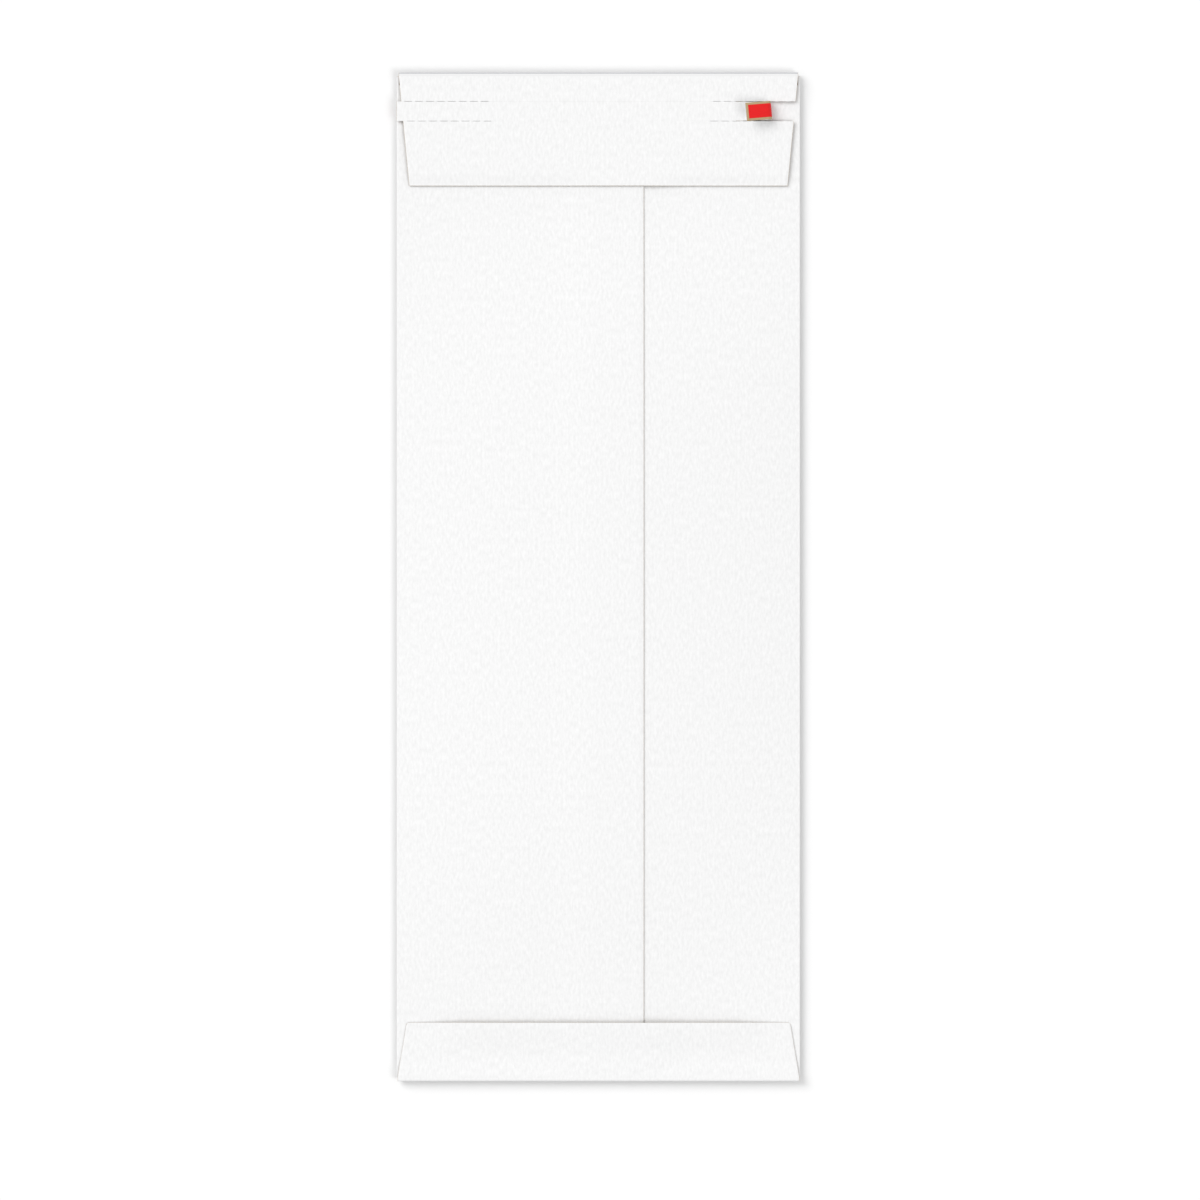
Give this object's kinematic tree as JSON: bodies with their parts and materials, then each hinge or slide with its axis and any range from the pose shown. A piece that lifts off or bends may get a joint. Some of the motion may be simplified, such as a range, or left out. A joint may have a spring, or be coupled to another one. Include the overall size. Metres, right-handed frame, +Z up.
{
  "type": "board envelope",
  "caption": "Long white board envelope lying shut with its back up: lapped back seam, glued bottom flap, and a closure flap with a perforated tear strip and folded-back red pull tab.",
  "frame": {"origin": "centre of the envelope's outline, on the surface that its front panel lies on", "axes": "+Y along the envelope towards the closure flap, +X across it towards the pull tab, +Z up out of the back"},
  "size_m": [0.16, 0.4, 0.0086],
  "materials": {
    "white_board": "matte",
    "board_inside": "matte",
    "red_tape": "satin",
    "glue": "satin",
    "liner": "satin"
  },
  "bodies": {
    "envelope": {"front_panel": "white_board", "left_side_fold": "white_board", "right_side_fold": "white_board", "wide_back_panel": "white_board", "narrow_back_panel": "white_board", "side_seam_glue": "glue", "bottom_fold": "white_board", "bottom_flap": "white_board", "bottom_glue_left": "glue", "bottom_glue_right": "glue", "flap_crease": "white_board"},
    "closure_flap": {"flap_upper_band": "white_board", "flap_lower_band": "white_board", "seal_adhesive": "glue", "starter_tab": "white_board", "starter_tape": "red_tape"},
    "liner": {"release_liner": "liner"},
    "strip_1": {"tear_strip_1": "white_board", "tear_tape_1": "red_tape"},
    "strip_2": {"tear_strip_2": "white_board", "tear_tape_2": "red_tape"},
    "strip_3": {"tear_strip_3": "white_board", "tear_tape_3": "red_tape"},
    "strip_4": {"tear_strip_4": "white_board", "tear_tape_4": "red_tape"},
    "strip_5": {"tear_strip_5": "white_board", "tear_tape_5": "red_tape"},
    "strip_6": {"tear_strip_6": "white_board", "tear_tape_6": "red_tape", "pull_tab_fold": "white_board", "pull_tab_fold_tape": "red_tape"},
    "tab": {"pull_tab": "board_inside", "pull_tab_tape": "red_tape"}
  },
  "joints": [
    {"name": "flap_fold", "type": "hinge", "parent": "envelope", "child": "closure_flap", "pos_m": [0, 0.19842, 0.00158], "axis": [-1, 0, 0], "range_deg": [0, 178], "deforming": ["flap_crease"]},
    {"name": "liner_draw", "type": "slide", "parent": "closure_flap", "child": "liner", "axis": [1, 0, 0], "range_m": [0, 0.16]},
    {"name": "strip_tear_1", "type": "hinge", "parent": "closure_flap", "child": "strip_1", "pos_m": [-0.075, 0.18455, 0.00315], "axis": [0, -1, 0], "range_deg": [0, 28]},
    {"name": "strip_tear_2", "type": "hinge", "parent": "strip_1", "child": "strip_2", "pos_m": [-0.05144, 0.18455, 0.00315], "axis": [0, -1, 0], "range_deg": [0, 28]},
    {"name": "strip_tear_3", "type": "hinge", "parent": "strip_2", "child": "strip_3", "pos_m": [-0.02788, 0.18455, 0.00315], "axis": [0, -1, 0], "range_deg": [0, 28]},
    {"name": "strip_tear_4", "type": "hinge", "parent": "strip_3", "child": "strip_4", "pos_m": [-0.00432, 0.18455, 0.00315], "axis": [0, -1, 0], "range_deg": [0, 28]},
    {"name": "strip_tear_5", "type": "hinge", "parent": "strip_4", "child": "strip_5", "pos_m": [0.01923, 0.18455, 0.00315], "axis": [0, -1, 0], "range_deg": [0, 28]},
    {"name": "strip_tear_6", "type": "hinge", "parent": "strip_5", "child": "strip_6", "pos_m": [0.04279, 0.18455, 0.00315], "axis": [0, -1, 0], "range_deg": [0, 28]},
    {"name": "tab_unfold", "type": "hinge", "parent": "strip_6", "child": "tab", "pos_m": [0.06635, 0.18465, 0.00485], "axis": [-0.0872, 0.9962, 0], "range_deg": [0, 145], "deforming": ["pull_tab_fold", "pull_tab_fold_tape"]}
  ],
  "couplings": [
    {"joint": "strip_tear_2", "follows": "strip_tear_1", "ratio": 1},
    {"joint": "strip_tear_3", "follows": "strip_tear_1", "ratio": 1},
    {"joint": "strip_tear_4", "follows": "strip_tear_1", "ratio": 1},
    {"joint": "strip_tear_5", "follows": "strip_tear_1", "ratio": 1},
    {"joint": "strip_tear_6", "follows": "strip_tear_1", "ratio": 1}
  ]
}
